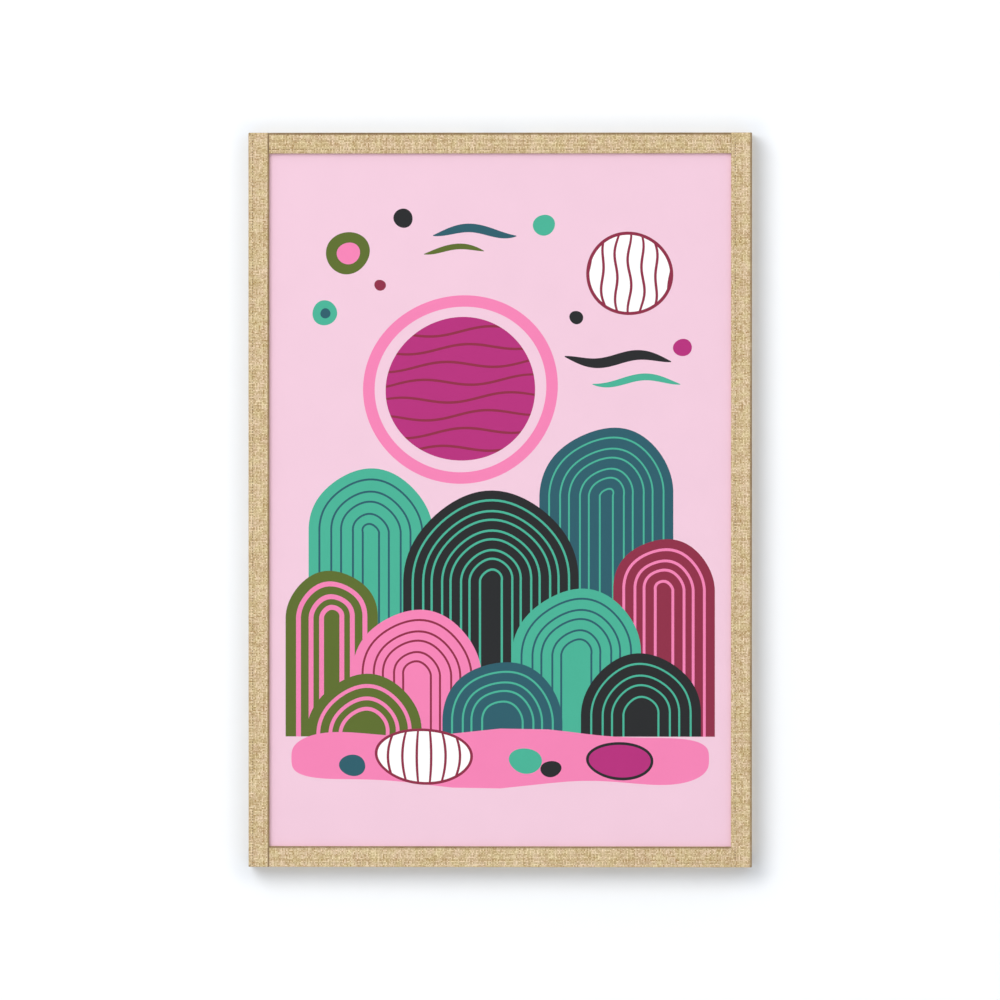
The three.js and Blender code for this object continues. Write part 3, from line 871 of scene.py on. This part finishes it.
def staple_places(name, sizes, draw):
    """A point on the hem for each staple of a strip, with how far the staple is turned."""
    turn, upright = STRIPS[name]
    y = HEM_Y + sizes.wire * STAPLE_OUT
    half = HALF_HEIGHT - STILE_ROW_END if upright else RAIL_BACK_END - RAIL_ROW_END
    count = round(2 * half / sizes.staple_pitch)
    stops = (np.arange(count) + 0.5) / count * 2 * half - half
    stops += draw.uniform(-STAPLE_WANDER, STAPLE_WANDER, count)
    points, turns = [], []
    for along in stops:
        tilt = draw.uniform(-STAPLE_TILT, STAPLE_TILT)
        inward = STAPLE_INWARD + draw.uniform(-STAPLE_STRAY, STAPLE_STRAY)
        if name == "linen_rail_top" and abs(along) < HANGER_CLEAR:
            continue
        points.append(row_place(turn, upright, inward, y, along))
        turns.append(tilt + (math.pi / 2 if upright else 0.0))
    if upright:
        corner = HALF_HEIGHT - CORNER_STAPLE
        points.append(row_place(turn, upright, CORNER_STAPLE, y, corner))
        turns.append(turn * -math.pi / 4)
    base = bpy.data.meshes.new("staple_points")
    base.from_pydata(points, [], [])
    store(base, "turn", turns)
    return base


def hem_edge(name, linen):
    """The raw edge of a strip's hem, with the way that its thread ends point."""
    turn, upright = STRIPS[name]
    reach = HALF_HEIGHT - STILE_FRAY_END if upright else RAIL_BACK_END - RAIL_FRAY_END
    y = HEM_Y - linen.thickness * FRAY_DEPTH
    ends = [row_place(turn, upright, HEM_WIDTH - FRAY_ROOT, y, end * reach) for end in (-1, 1)]
    edge = bpy.data.meshes.new("hem_edge")
    edge.from_pydata(ends, [(0, 1)], [])
    way = (turn, 0, 0) if upright else (0, 0, -turn)
    ways = edge.attributes.new("outward", "FLOAT_VECTOR", "POINT")
    ways.data.foreach_set("vector", way * 2)
    return edge


# ------------------------------------------------------------------ the printed design
#
# Rounded hills under a sun and a moon, in millimetres from the middle of the picture. Each
# shape lies on the ones before it, and one that names another shows only inside that one.


def blob(x, z, wide, high, wobble=0.03, turn=0.0, count=72):
    """An uneven round outline."""
    points = []
    for step in range(count):
        angle = 2 * math.pi * step / count
        swell = 1 + wobble * (math.sin(2 * angle + turn) + 0.6 * math.sin(3 * angle - 2 * turn))
        points.append((x + wide * swell * math.cos(angle), z + high * swell * math.sin(angle)))
    return points


def hill(x, base, half, top, lean=0.0, inset=0.0, count=40):
    """A round-topped hill from its left foot over the top to its right foot."""
    reach = half - inset
    points = [(x - reach, base)]
    for step in range(count + 1):
        angle = math.pi * (1 - step / count)
        swell = 1 + 0.03 * math.sin(3.3 * angle + 5 * lean)
        side, up = math.cos(angle), math.sin(angle)
        points.append((x + reach * side + lean * 3 * up, top - half + reach * swell * up))
    points.append((x + reach, base))
    return points


def band(outer, inner):
    return outer + inner[::-1]


def ribbon(centre, width, taper=0.75):
    """A brush line along a centre line, thinner towards its ends."""
    left, right = [], []
    for index, (x, z) in enumerate(centre):
        before, after = centre[max(index - 1, 0)], centre[min(index + 1, len(centre) - 1)]
        run, rise = after[0] - before[0], after[1] - before[1]
        size = math.hypot(run, rise)
        share = index / (len(centre) - 1)
        half = width / 2 * (1 - taper * abs(2 * share - 1) ** 3)
        left.append((x - rise / size * half, z + run / size * half))
        right.append((x + rise / size * half, z - run / size * half))
    return left + right[::-1]


def lay(shapes, outline, ink, inside=None):
    """Lays a shape on the ones before it, and returns its number for those inside it."""
    shapes.append((outline, ink, inside))
    return len(shapes) - 1


# each hill: ink, middle, foot, half width, top, lean, ink of its lines, count, spacing, width
HILLS = [
    ("deep", 92, -205, 58, 62, 0.8, "teal", 6, 8.6, 1.5),
    ("teal", -112, -205, 54, 26, -0.6, "deep", 5, 9.4, 1.7),
    ("black", -8, -205, 76, 6, 0.5, "teal", 8, 8.2, 1.9),
    ("olive", -146, -205, 40, -62, 0.3, "pink", 3, 10.0, 4.2),
    ("maroon", 142, -205, 44, -34, -0.4, "pink", 4, 8.8, 2.4),
    ("teal", 66, -205, 56, -78, 0.7, "deep", 5, 8.6, 1.7),
    ("pink", -72, -205, 56, -96, -0.5, "maroon", 5, 8.8, 1.8),
    ("black", 122, -205, 52, -134, 0.4, "teal", 4, 9.0, 1.7),
    ("deep", 2, -205, 52, -140, -0.3, "teal", 4, 8.4, 1.7),
    ("olive", -118, -205, 50, -152, 0.6, "pink", 3, 9.6, 3.2),
]


def add_hills(shapes):
    """The hills, each with lines that follow its outline."""
    for ink, x, base, half, top, lean, line_ink, count, spacing, width in HILLS:
        lay(shapes, hill(x, base, half, top, lean), ink)
        for number in range(1, count + 1):
            inset = spacing * number - (number % 2) * 0.9
            if half - inset > width + 4:
                outer = hill(x, base, half, top, lean, inset)
                inner = hill(x, base, half, top, lean, inset + width)
                lay(shapes, band(outer, inner), line_ink)


def add_sky(shapes):
    """The sun with its ring, the moon, small dots and brush lines."""
    x, z = -34, 96
    lay(shapes, blob(x, z, 84, 82, 0.012, 0.4, 110), "pink")
    lay(shapes, blob(x, z, 74, 72, 0.012, 0.4, 110), "ground")
    sun = lay(shapes, blob(x, z, 64, 63, 0.014, 1.1, 110), "magenta")
    for number in range(8):
        level = z + 50 - number * 14.5
        wave = [
            (x + run, level + 3.2 * math.sin(run / 15 + number * 1.3) + run * 0.05)
            for run in range(-72, 73, 3)
        ]
        lay(shapes, ribbon(wave, 2.2, 0.2), "maroon", sun)

    x, z = 112, 196
    lay(shapes, blob(x, z, 37.2, 36.6, 0.015, 2.0, 90), "maroon")
    moon = lay(shapes, blob(x, z, 34.4, 33.8, 0.015, 2.0, 90), "white")
    for number in range(7):
        aside = (number - 3) * 9.4
        line = []
        for rise in range(-40, 41, 3):
            bow = aside * (1 + 0.28 * math.cos(rise / 24))
            line.append((x + bow + 1.6 * math.sin(rise / 7 + number), z + rise))
        lay(shapes, ribbon(line, 2.3, 0.3), "maroon", moon)

    # each dot: place, half width, ink, and the ink and half width of its core
    for x, z, size, ink, core_ink, core in (
        (-132, 214, 19, "olive", "pink", 10),
        (-84, 244, 8.5, "black", None, 0),
        (-152, 162, 11, "teal", "deep", 4.5),
        (38, 238, 9.5, "teal", None, 0),
        (158, 132, 8, "magenta", None, 0),
        (66, 158, 6, "black", None, 0),
        (-104, 186, 5, "maroon", None, 0),
    ):
        lay(shapes, blob(x, z, size, size * 0.96, 0.03, x), ink)
        if core:
            lay(shapes, blob(x + 0.6, z - 0.4, core, core * 0.95, 0.03, z), core_ink)

    # each brush line: place, half length, width, ink, and where its wave starts
    for x, z, reach, width, ink, phase in (
        (102, 122, 46, 9, "black", 0.0),
        (118, 103, 38, 6, "teal", 0.9),
        (-22, 232, 36, 7.5, "deep", 2.0),
        (-40, 216, 26, 5, "olive", 1.1),
    ):
        runs = np.linspace(-reach, reach, 40)
        wave = [(x + run, z + 3.6 * math.sin(run / 12 + phase)) for run in runs]
        lay(shapes, ribbon(wave, width, 0.9), ink)


def add_ground(shapes):
    """The pink ground with its stones."""
    ground = []
    count = 120
    for step in range(count):
        angle = 2 * math.pi * step / count
        side, up = math.cos(angle), math.sin(angle)
        run = 181 * math.copysign(abs(side) ** 0.5, side)
        rise = 23 * math.copysign(abs(up) ** 0.6, up)
        ground.append((run, -224 + rise + 3.5 * math.sin(run / 29 + up)))
    lay(shapes, ground, "pink")
    # the two large stones: place, half width, half height, and how many lines
    for x, z, wide, high, count in ((-66, -222, 40, 22, 6), (104, -226, 27, 14, 0)):
        ink, rim_ink = ("white", "maroon") if count else ("magenta", "black")
        lay(shapes, blob(x, z, wide + 2.4, high + 2.4, 0.03, x), rim_ink)
        stone = lay(shapes, blob(x, z, wide, high, 0.03, x), ink)
        for number in range(count):
            aside = (number - (count - 1) / 2) * 12.5
            line = [
                (x + aside * (1 - 0.18 * (rise / 22) ** 2), z + rise)
                for rise in range(-26, 27, 3)
            ]
            lay(shapes, ribbon(line, 2.2, 0.3), "maroon", stone)
    pebbles = ((22, -226, 11, "teal"), (44, -233, 7, "black"), (-128, -230, 9, "deep"))
    for x, z, high, ink in pebbles:
        lay(shapes, blob(x, z, high * 1.3, high, 0.04, x), ink)


def anticlockwise(outline):
    area = sum(a[0] * b[1] - a[1] * b[0] for a, b in zip(outline, outline[1:] + outline[:1]))
    return outline if area > 0 else outline[::-1]


def picture_shapes():
    wide, high = (PRINT_HIGH.x - PRINT_LOW.x) / 2 / MM, (PRINT_HIGH.z - PRINT_LOW.z) / 2 / MM
    shapes = []
    lay(shapes, [(-wide, -high), (wide, -high), (wide, high), (-wide, high)], "ground")
    add_sky(shapes)
    add_hills(shapes)
    add_ground(shapes)
    return [(anticlockwise(outline), *rest) for outline, *rest in shapes]


def printed_sheet(inks):
    """The paper as a closed slab whose front is cut along the shapes, with each face's ink."""
    shapes = picture_shapes()
    corners, outlines = [], []
    for outline, _, _ in shapes:
        outlines.append(list(range(len(corners), len(corners) + len(outline))))
        corners += [Vector(point) for point in outline]
    places, _, faces, sources, _, covers = delaunay_2d_cdt(
        corners, [], outlines, INSIDE_ONLY, 1e-4
    )
    front = [(x * MM, PRINT_LOW.y, MIDDLE_Z + z * MM) for x, z in places]
    faces = [list(face) for face in faces]
    seen = []
    for inside in covers:
        on_top = max(n for n in inside if shapes[n][2] is None or shapes[n][2] in inside)
        seen.append(inks[shapes[on_top][1]])
    at = {source[0]: n for n, source in enumerate(sources) if source}
    rim = [at[n] for n in range(4)]
    count = len(front)
    back = [(front[n][0], PRINT_HIGH.y, front[n][2]) for n in rim]
    sides = [[rim[(n + 1) % 4], rim[n], count + n, count + (n + 1) % 4] for n in range(4)]
    faces += sides + [[count + 3, count + 2, count + 1, count]]
    seen += [inks["white"]] * 5
    mesh = bpy.data.meshes.new("printed_sheet")
    mesh.from_pydata(front + back, [], outward(np.array(front + back), faces))
    ink = mesh.color_attributes.new("ink", "FLOAT_COLOR", "CORNER")
    values = [opaque(seen[face.index]) for face in mesh.polygons for _ in face.vertices]
    ink.data.foreach_set("color", np.array(values, dtype=np.float32).ravel())
    return mesh


def printed_paper():
    """Matt ink on smooth paper, with a faint grain."""
    material, w, shader = new_surface("printed_paper", Roughness=0.72)
    shader.inputs["Specular IOR Level"].default_value = 0.2
    ink = w.add("ShaderNodeAttribute", attribute_name="ink").outputs["Color"]
    place = place_in_mm(w)
    grain = w.noise(place, 2.2, detail=4.0, roughness=0.6)
    cloudy = w.noise(place, 0.03, detail=1.0)
    level = w.spread(w.math("ADD", grain, cloudy), 0.6, 1.4, 0.985, 1.012)
    w.feed(shader.inputs["Base Color"], w.shaded(ink, level))
    add_bump(w, shader, grain, 0.02 * MM, 0.6)
    return material


# ------------------------------------------------------------------ wood, boards, metal, rubber


def planed_wood(name, colour_value, grain_axis, grain=0.22):
    """Planed wood with its grain along one axis."""
    material, w, shader = new_surface(name, Roughness=0.62)
    place = place_in_mm(w, grain_axis, 0.035)
    rings = w.noise(place, grain, detail=3.0, roughness=0.55, distortion=0.6)
    lines = w.math("FRACT", w.math("MULTIPLY", rings, 7.0))
    late = w.spread(lines, 0.45, 0.95, smooth=True)
    pores = w.noise(place, 4.0, detail=2.0)
    dark = opaque(colour_value, 0.62)
    toned = w.blend(w.math("MULTIPLY", late, 0.75), opaque(colour_value), dark)
    flecked = w.blend(w.spread(pores, 0.5, 0.75, 0.0, 0.35), toned, dark)
    w.feed(shader.inputs["Base Color"], flecked)
    add_bump(w, shader, w.math("MULTIPLY_ADD", late, 0.4, pores), 0.05 * MM, 0.6)
    return material


def pressed_board(name, colour_value, screen):
    """Pressed fibre, with the mark of a press screen where its fineness is more than 0."""
    material, w, shader = new_surface(name, Roughness=0.68)
    place = place_in_mm(w)
    fibres = w.noise(place, 1.9, detail=5.0, roughness=0.75, distortion=0.7)
    patches = w.noise(place, 0.03, detail=4.0, roughness=0.6)
    dark, pale = opaque(colour_value, 0.62), opaque(colour_value, 1.35)
    mixed = w.blend(w.spread(fibres, 0.3, 0.7), dark, pale)
    worn = w.spread(patches, 0.3, 0.7, 0.95, 1.04)
    w.feed(shader.inputs["Base Color"], w.shaded(mixed, worn))
    height = fibres
    if screen:
        axes = w.add("ShaderNodeSeparateXYZ", {"Vector": place})
        turns = [w.math("SINE", w.math("MULTIPLY", axes.outputs[n], screen)) for n in (0, 2)]
        height = w.math("MULTIPLY_ADD", w.math("MULTIPLY", *turns), 0.8, fibres)
    add_bump(w, shader, height, 0.12 * MM, 0.8)
    return material


def bright_zinc(colour_value):
    """Zinc-plated steel with fine rolling lines and dull spots."""
    material, w, shader = new_surface("bright_zinc", Metallic=1.0)
    streaks = w.noise(place_in_mm(w, "X", 0.04), 5.0, detail=3.0)
    spots = w.noise(place_in_mm(w), 0.7, detail=3.0)
    tarnish = w.spread(spots, 0.5, 0.72, 0.0, 0.7)
    toned = w.blend(tarnish, opaque(colour_value), opaque(colour_value, 0.72))
    w.feed(shader.inputs["Base Color"], toned)
    rough = w.math("ADD", w.spread(streaks, 0.3, 0.7, 0.24, 0.4), w.math("MULTIPLY", tarnish, 0.2))
    w.feed(shader.inputs["Roughness"], rough)
    add_bump(w, shader, streaks, 0.01 * MM, 0.5)
    return material


def black_rubber(colour_value):
    """Matt rubber, a little dusty."""
    material, w, shader = new_surface("black_rubber", Roughness=0.8)
    place = place_in_mm(w)
    skin = w.noise(place, 6.0, detail=3.0)
    dust = w.spread(w.noise(place, 0.5, detail=3.0), 0.45, 0.75, 0.0, 0.5)
    toned = w.blend(dust, opaque(colour_value), opaque(colour_value, 4.0))
    w.feed(shader.inputs["Base Color"], toned)
    add_bump(w, shader, skin, 0.03 * MM, 0.7)
    return material


def dress(material, *names):
    """Gives the CAD nodes whose names start so this material."""
    for name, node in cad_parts.items():
        if name.startswith(names):
            for slot in node.material_slots:
                slot.material = material


# ------------------------------------------------------------------ operators


class FRAMEDPRINT_OT_linen(bpy.types.Operator):
    """Wraps the four strips in woven linen"""

    bl_idname = "framed_print.linen"
    bl_label = "Linen wraps"

    def execute(self, context):
        sizes = context.scene.framed_print_linen
        material = linen_cloth(sizes)
        tree = weave_relief(material)
        draw = np.random.default_rng(sizes.seed)
        inputs = {
            "Thread pitch": sizes.thread_pitch,
            "Relief": sizes.relief,
            "Slub": sizes.slub,
            "Seed": float(sizes.seed),
        }
        for name in STRIPS:
            cloth = StripCloth(name, sizes)
            wrap = grown(name + "_wrap", cloth.mesh(draw), tree, inputs)
            smooth(wrap.data, 55)
            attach(wrap, "root")
            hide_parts(cloth.name)
        return {"FINISHED"}


class FRAMEDPRINT_OT_hems(bpy.types.Operator):
    """Staples the hems to the back and frays their raw edges"""

    bl_idname = "framed_print.hems"
    bl_label = "Hem staples and threads"

    def execute(self, context):
        sizes = context.scene.framed_print_hems
        linen = context.scene.framed_print_linen
        staples = staple_row(bright_zinc(context.scene.framed_print_back.zinc))
        fray = frayed_hem(bpy.data.materials["linen_cloth"])
        draw = np.random.default_rng(linen.seed + 1)
        for name in STRIPS:
            side = name.replace("linen_", "")
            inputs = {"Crown": sizes.crown, "Leg": sizes.leg, "Wire": sizes.wire}
            row = grown(f"hem_staples_{side}", staple_places(name, sizes, draw), staples, inputs)
            smooth(row.data, 40)
            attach(row, "root")

            inputs = {
                "Thread pitch": linen.thread_pitch,
                "Length": sizes.end_length,
                "Thickness": sizes.end_thickness,
                "Seed": float(linen.seed),
            }
            threads = grown(f"frayed_threads_{side}", hem_edge(name, linen), fray, inputs)
            smooth(threads.data, 80)
            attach(threads, "root")
        return {"FINISHED"}


class FRAMEDPRINT_OT_picture(bpy.types.Operator):
    """Prints the abstract hills on the sheet"""

    bl_idname = "framed_print.picture"
    bl_label = "Print"

    def execute(self, context):
        colours = context.scene.framed_print_picture
        inks = {name: tuple(getattr(colours, name)) for name in PictureColours.__annotations__}
        mesh = printed_sheet(inks)
        mesh.materials.append(printed_paper())
        sheet = link_piece("printed_sheet", mesh)
        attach(sheet, "root")
        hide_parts("print_sheet")
        return {"FINISHED"}


class FRAMEDPRINT_OT_back(bpy.types.Operator):
    """Finishes the wood, the boards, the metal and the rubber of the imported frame"""

    bl_idname = "framed_print.back"
    bl_label = "Wood, boards and fittings"

    def execute(self, context):
        colours = context.scene.framed_print_back
        dress(planed_wood("pine_upright", colours.pine, "Z"), "core_stile")
        dress(planed_wood("pine_level", colours.pine, "X"), "core_rail")
        dress(planed_wood("beech_dowel", colours.beech, "X", 0.6), "dowel")
        dress(pressed_board("grey_board", colours.grey_board, 0.0), "mounting_board")
        dress(pressed_board("hardboard", colours.hardboard, 4.2), "backing_board")
        steel = bpy.data.materials["bright_zinc"]
        dress(steel, "point_", "sawtooth_hanger", "hanger_nail")
        dress(black_rubber(colours.rubber), "bumper")
        return {"FINISHED"}


# ------------------------------------------------------------------ the stage

SENSOR_WIDTH = 36  # millimetres
WALL_SIDE, WALL_TOP = 4, 3
FLOOR_SIDE, FLOOR_FRONT, FLOOR_BACK = 8, -12, 6
WALL_TONES = (0.945, 0.955)
PAINTED_SHADOW_REACH = (3.0, 24.0)  # how far from the frame the painted shadow on the wall fades out, in millimetres
TOWARDS_KEY, TOWARDS_BACK_LIGHT = Vector((-0.56, -1, 0.56)), Vector((0.15, 1, 0.2))


def stage_plane(name, low, high, material):
    """A plane from its lower or nearer left corner to its upper or further right one."""
    corners = [low, (high[0], *low[1:]), high, (low[0], *high[1:])]
    mesh = bpy.data.meshes.new(name)
    mesh.from_pydata(corners, [], [(0, 1, 2, 3)])
    mesh.materials.append(material)
    plane = link_piece(name, mesh)
    return plane


def beside_frame(w, place):
    """How far a place on the wall is outside the frame's outline, in millimetres."""
    axes = w.add("ShaderNodeSeparateXYZ", {"Vector": place}).outputs
    aside = w.math("SUBTRACT", w.math("ABSOLUTE", axes["X"]), OUTER_X / MM)
    rise = w.math("SUBTRACT", axes["Z"], MIDDLE_Z / MM)
    above = w.math("SUBTRACT", w.math("ABSOLUTE", rise), HALF_HEIGHT / MM)
    gap = w.vector(w.math("MAXIMUM", aside, 0.0), 0.0, w.math("MAXIMUM", above, 0.0))
    return w.add("ShaderNodeVectorMath", {"Vector": gap}, operation="LENGTH").outputs["Value"]


def white_wall():
    """White paint with a painted shadow close round the frame, and seen from the front only."""
    material, w, shader = new_surface("wall_paint", Roughness=0.9)
    place = place_in_mm(w)
    patches = w.noise(place, 0.004, detail=2.0)
    tones = [(tone - 0.018, tone, tone + 0.018, 1) for tone in WALL_TONES]
    near_white = w.blend(w.spread(patches, 0.3, 0.7), *tones)
    # painted shadow on the wall: darkest and a little blue close round the frame, gone further out
    out_of_shadow = w.spread(beside_frame(w, place), *PAINTED_SHADOW_REACH, smooth=True)
    dull = w.blend(out_of_shadow, (0.905, 0.92, 0.94, 1), (1, 1, 1, 1))
    w.feed(shader.inputs["Base Color"], w.blend(1.0, near_white, dull, "MULTIPLY"))
    add_bump(w, shader, w.noise(place, 0.6, detail=3.0), 0.02 * MM, 0.3)
    behind = w.add("ShaderNodeNewGeometry").outputs["Backfacing"]
    clear = w.add("ShaderNodeBsdfTransparent")
    mix = w.add("ShaderNodeMixShader")
    w.feed(mix.inputs[0], behind)
    w.feed(mix.inputs[1], shader.outputs[0])
    w.feed(mix.inputs[2], clear.outputs[0])
    w.feed(material.node_tree.nodes["Material Output"].inputs["Surface"], mix.outputs[0])
    return material


def pale_floor():
    """Pale grey paint."""
    material, w, shader = new_surface("floor_paint", Roughness=0.85)
    place = place_in_mm(w)
    tone = w.spread(w.noise(place, 0.003, detail=3.0), 0.3, 0.7, 0.67, 0.70)
    w.feed(shader.inputs["Base Color"], w.grey(tone))
    return material


def place_facing(name, data, place, way):
    """Puts a light or the camera at a place, looking along a way."""
    placed = link_piece(name, data)
    placed.location = place
    placed.rotation_mode = "QUATERNION"
    placed.rotation_quaternion = way.to_track_quat("-Z", "Y")
    return placed


def soft_light(name, way, aim, sizes, power):
    light = bpy.data.lights.new(name, "AREA")
    light.shape, light.size, light.energy = "SQUARE", sizes.light_size, power
    place = aim + way.normalized() * sizes.light_distance
    place_facing(name, light, place, aim - place).visible_camera = False


class FRAMEDPRINT_OT_stage(bpy.types.Operator):
    """Sets up the wall, the floor, the light and the camera"""

    bl_idname = "framed_print.stage"
    bl_label = "Wall, floor, light and camera"

    def execute(self, context):
        sizes = context.scene.framed_print_stage
        aim = Vector((0, FRONT_Y, MIDDLE_Z))
        floor_z = -sizes.floor_drop
        low, high = (-WALL_SIDE, 0, floor_z), (WALL_SIDE, 0, WALL_TOP)
        wall = stage_plane("wall", low, high, white_wall())
        wall.visible_shadow = wall.visible_diffuse = wall.visible_glossy = False
        low, high = (-FLOOR_SIDE, FLOOR_FRONT, floor_z), (FLOOR_SIDE, FLOOR_BACK, floor_z)
        stage_plane("floor", low, high, pale_floor())

        world = bpy.data.worlds.new("studio")
        world.use_nodes = True
        background = world.node_tree.nodes["Background"]
        background.inputs["Color"].default_value = opaque(sizes.sky_colour)
        w = Wiring(world.node_tree)
        direction = w.add("ShaderNodeTexCoord").outputs["Generated"]
        way = w.add("ShaderNodeSeparateXYZ", {"Vector": direction}).outputs["Y"]
        strength = w.spread(way, -0.1, 0.3, sizes.sky, sizes.sky_behind, smooth=True)
        w.feed(background.inputs["Strength"], strength)
        context.scene.world = world
        soft_light("key_light", TOWARDS_KEY, aim, sizes, sizes.key)
        soft_light("back_light", TOWARDS_BACK_LIGHT, aim, sizes, sizes.back)

        camera = bpy.data.cameras.new("camera")
        camera.lens, camera.sensor_width = sizes.lens, SENSOR_WIDTH
        camera.clip_start, camera.clip_end = 0.1, 100
        azimuth, elevation = math.radians(sizes.azimuth), math.radians(sizes.elevation)
        back = Vector((
            math.sin(azimuth) * math.cos(elevation),
            -math.cos(azimuth) * math.cos(elevation),
            math.sin(elevation),
        ))
        distance = sizes.view_width * sizes.lens / SENSOR_WIDTH
        context.scene.camera = place_facing("camera", camera, aim + back * distance, -back)
        context.scene.view_settings.view_transform = "Standard"
        return {"FINISHED"}


class FRAMEDPRINT_PT_sidebar(bpy.types.Panel):
    """Lists the steps and their sizes"""

    bl_label = "Framed print"
    bl_space_type = "VIEW_3D"
    bl_region_type = "UI"
    bl_category = "Framed print"

    def draw(self, context):
        for operator, name, _ in STEPS:
            self.layout.operator(operator.bl_idname)
            settings = getattr(context.scene, name)
            for size in settings.bl_rna.properties.keys():
                if size not in ("rna_type", "name"):
                    self.layout.prop(settings, size)


STEPS = [
    (FRAMEDPRINT_OT_stage, "framed_print_stage", StageSizes),
    (FRAMEDPRINT_OT_linen, "framed_print_linen", LinenSizes),
    (FRAMEDPRINT_OT_hems, "framed_print_hems", HemSizes),
    (FRAMEDPRINT_OT_picture, "framed_print_picture", PictureColours),
    (FRAMEDPRINT_OT_back, "framed_print_back", BackColours),
]


def register():
    for operator, name, group in STEPS:
        bpy.utils.register_class(group)
        setattr(bpy.types.Scene, name, PointerProperty(type=group))
        bpy.utils.register_class(operator)
    bpy.utils.register_class(FRAMEDPRINT_PT_sidebar)


def unregister():
    bpy.utils.unregister_class(FRAMEDPRINT_PT_sidebar)
    for operator, name, group in reversed(STEPS):
        bpy.utils.unregister_class(operator)
        delattr(bpy.types.Scene, name)
        bpy.utils.unregister_class(group)


def main():
    register()
    for operator, *_ in STEPS:
        group, name = operator.bl_idname.split(".")
        getattr(getattr(bpy.ops, group), name)()


if __name__ == "__main__":
    main()
